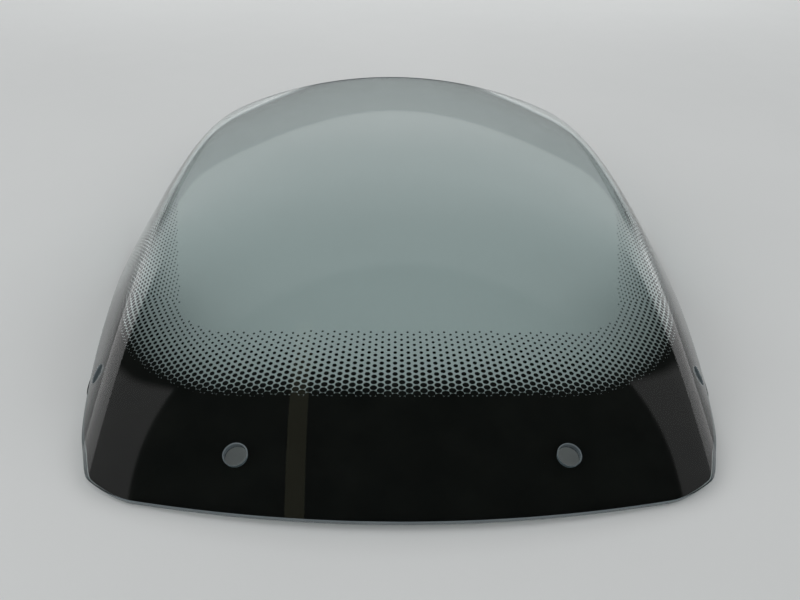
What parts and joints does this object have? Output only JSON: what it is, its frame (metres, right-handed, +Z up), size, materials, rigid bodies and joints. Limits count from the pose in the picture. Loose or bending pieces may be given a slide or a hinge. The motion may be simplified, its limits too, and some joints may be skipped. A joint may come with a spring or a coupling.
{
  "type": "motorcycle windshield screen",
  "caption": "Tinted clear formed windshield screen, domed, with an opaque printed lower border that fades into a clear window, and fixing holes low at the front and on the flanks.",
  "frame": {"origin": "on the rest plane, under the middle of the bounding box", "axes": "+Z up from the rest plane, hollow side down; +X across to the screen's side; -Y towards the lower edge that meets the fairing, +Y towards the top edge"},
  "size_m": [0.421, 0.4788, 0.087],
  "materials": {
    "tinted_clear_sheet": "clear formed plastic sheet with a light grey-green tint, glossy on both faces, polished edges",
    "black_ink": "opaque black ink printed on the inner face, glossy through the sheet and satin on its own side"
  },
  "bodies": {
    "root": {"screen_shell": "tinted_clear_sheet", "black_border_print": "black_ink"}
  },
  "joints": []
}
